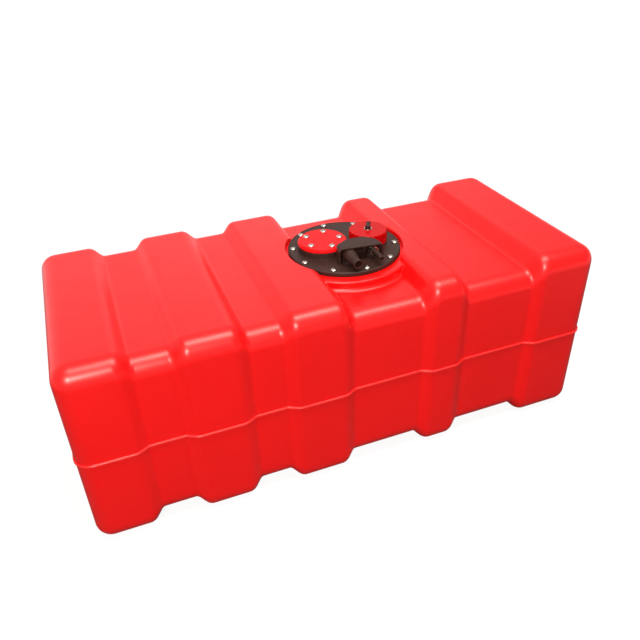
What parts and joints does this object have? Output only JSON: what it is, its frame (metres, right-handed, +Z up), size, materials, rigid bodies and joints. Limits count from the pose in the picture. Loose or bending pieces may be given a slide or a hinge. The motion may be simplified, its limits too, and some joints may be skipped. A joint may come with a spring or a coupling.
{
  "type": "built-in marine fuel tank",
  "caption": "Ribbed rectangular built-in boat fuel tank with a round top flange carrying a blanked gauge hole, hooded filler and vent tails and a screw-down pickup.",
  "frame": {"origin": "middle of the tank's footprint, on the face it stands on", "axes": "+X along the tank's length, flange right of the middle; -Y to the front, where the hose tails point; +Z up"},
  "size_m": [0.804, 0.354, 0.3266],
  "materials": {
    "tank_red": "satin gloss cross-linked polyethylene, slightly orange-peeled",
    "fitting_red": "gloss moulded plastic",
    "fitting_black": "fine-grained glass-filled plastic",
    "steel": "stainless steel",
    "brass": "turned brass",
    "rubber": "fuel-proof rubber",
    "tube_grey": "extruded plastic tube"
  },
  "bodies": {
    "tank": {"tank_shell": "tank_red", "flange_inserts": "brass", "flange_gasket": "rubber", "flange_plate": "fitting_black", "flange_screws": "steel", "gauge_inserts": "brass", "gauge_gasket": "rubber", "gauge_cover": "fitting_red", "gauge_cover_screws": "steel", "filler_elbow": "fitting_black", "filler_seal": "rubber", "filler_lock_nut": "fitting_black", "vent_elbow": "fitting_black", "vent_seal": "rubber", "vent_lock_nut": "fitting_black", "vent_collar": "steel"},
    "pickup": {"pickup_plug": "fitting_black", "pickup_seal": "rubber", "dip_tube": "tube_grey", "strainer": "tube_grey", "retaining_ring": "steel", "outlet_seal": "rubber"},
    "nut": {"ring_nut": "fitting_red"},
    "outlet": {"outlet_elbow": "fitting_black"}
  },
  "joints": [
    {"name": "pickup_lift", "type": "slide", "parent": "tank", "child": "pickup", "axis": [0, 0, 1], "range_m": [0, 0.012]},
    {"name": "ring_nut_turn", "type": "hinge", "parent": "pickup", "child": "nut", "pos_m": [0.092, 0, 0.308], "axis": [0, 0, 1], "range_deg": [0, 1080]},
    {"name": "outlet_swivel", "type": "hinge", "parent": "pickup", "child": "outlet", "pos_m": [0.092, 0, 0.3215], "axis": [0, 0, 1], "range_deg": [-170, 170]}
  ],
  "couplings": [
    {"joint": "pickup_lift", "follows": "ring_nut_turn", "m_per_rad": 0.00063662}
  ]
}
